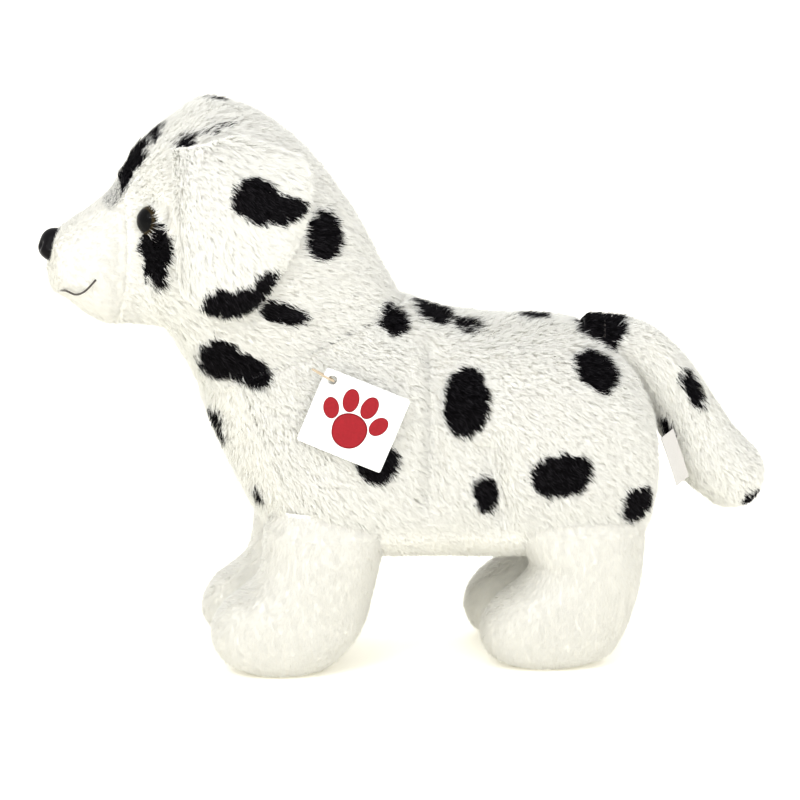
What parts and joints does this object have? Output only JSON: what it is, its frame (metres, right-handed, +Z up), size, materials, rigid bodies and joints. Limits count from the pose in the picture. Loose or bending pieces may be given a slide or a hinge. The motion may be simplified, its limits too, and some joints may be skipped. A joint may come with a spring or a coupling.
{
  "type": "plush dog",
  "caption": "Standing plush puppy with a domed head, floppy ears, drooping tail, thick legs, safety eyes and nose, a folded swing tag and a care label.",
  "frame": {"origin": "middle of the box's footprint, on the plane of the four soles", "axes": "+Z up, -X towards the nose, -Y towards the dog's left side"},
  "size_m": [0.3, 0.1058, 0.2326],
  "materials": {
    "plush_long": "long soft pile, white with black spots",
    "plush_short": "short dense pile, plain white",
    "stuffing": "loose polyester fibre",
    "black_plastic": "moulded, glossy black",
    "washer_plastic": "moulded, natural",
    "thread": "spun thread",
    "card": "coated white card, stood in by matte plastic",
    "ribbon": "woven satin ribbon"
  },
  "bodies": {
    "torso": {"belly_panel": "plush_long", "front_left_leg_inner_panel": "plush_short", "front_left_leg_outer_panel": "plush_short", "front_left_leg_stuffing": "stuffing", "front_left_paw_sole": "plush_short", "front_right_leg_inner_panel": "plush_short", "front_right_leg_outer_panel": "plush_short", "front_right_leg_stuffing": "stuffing", "front_right_paw_sole": "plush_short", "hind_left_leg_inner_panel": "plush_short", "hind_left_leg_outer_panel": "plush_short", "hind_left_leg_stuffing": "stuffing", "hind_left_paw_sole": "plush_short", "hind_right_leg_inner_panel": "plush_short", "hind_right_leg_outer_panel": "plush_short", "hind_right_leg_stuffing": "stuffing", "hind_right_paw_sole": "plush_short", "torso_left_panel": "plush_long", "torso_right_panel": "plush_long", "torso_stuffing": "stuffing"},
    "head": {"head_gusset": "plush_long", "head_left_panel": "plush_long", "head_right_panel": "plush_long", "head_stuffing": "stuffing", "left_eye": "black_plastic", "left_eye_washer": "washer_plastic", "mouth_stitch": "thread", "muzzle_cover": "plush_short", "nose": "black_plastic", "nose_washer": "washer_plastic", "right_eye": "black_plastic", "right_eye_washer": "washer_plastic"},
    "left_ear": {"left_ear_lining": "plush_short", "left_ear_outer": "plush_long"},
    "right_ear": {"right_ear_lining": "plush_short", "right_ear_outer": "plush_long"},
    "tail_base": {"tail_root_stitching": "thread"},
    "tail": {"tail_left_panel": "plush_long", "tail_right_panel": "plush_long", "tail_stuffing": "stuffing"},
    "tag": {"tag_back_leaf": "card", "tag_thread": "thread"},
    "tag_leaf": {"tag_front_leaf": "card"},
    "care_label": {"care_label": "ribbon"}
  },
  "joints": [
    {"name": "head_turn", "type": "hinge", "parent": "torso", "child": "head", "pos_m": [-0.0445, 0, 0.132], "axis": [-0.417, 0, 0.9089], "range_deg": [-15, 15], "stiffness_Nm_per_rad": 0.4},
    {"name": "left_ear_lift", "type": "hinge", "parent": "head", "child": "left_ear", "pos_m": [-0.08469, -0.0315, 0.21616], "axis": [-0.968, -0.0096, -0.2509], "range_deg": [0, 100]},
    {"name": "right_ear_lift", "type": "hinge", "parent": "head", "child": "right_ear", "pos_m": [-0.08469, 0.0315, 0.21616], "axis": [0.968, -0.0096, 0.2509], "range_deg": [0, 100]},
    {"name": "tail_wag", "type": "hinge", "parent": "torso", "child": "tail_base", "pos_m": [0.0805, 0, 0.1285], "axis": [0.1591, 0, 0.9873], "range_deg": [-4, 4], "stiffness_Nm_per_rad": 0.2},
    {"name": "tail_lift", "type": "hinge", "parent": "tail_base", "child": "tail", "pos_m": [0.08253, 0, 0.14109], "axis": [0, -1, 0], "range_deg": [0, 50], "stiffness_Nm_per_rad": 0.15},
    {"name": "tag_swing", "type": "hinge", "parent": "torso", "child": "tag", "pos_m": [-0.04307, -0.0486, 0.12849], "axis": [0, -1, 0], "range_deg": [-45, 30]},
    {"name": "tag_open", "type": "hinge", "parent": "tag", "child": "tag_leaf", "pos_m": [-0.0373, -0.04885, 0.1293], "axis": [-0.3907, 0, -0.9205], "range_deg": [0, 45]},
    {"name": "label_flap", "type": "hinge", "parent": "torso", "child": "care_label", "pos_m": [0.1011, -0.02514, 0.0925], "axis": [-0.6088, -0.7662, -0.2057], "range_deg": [0, 70]}
  ]
}
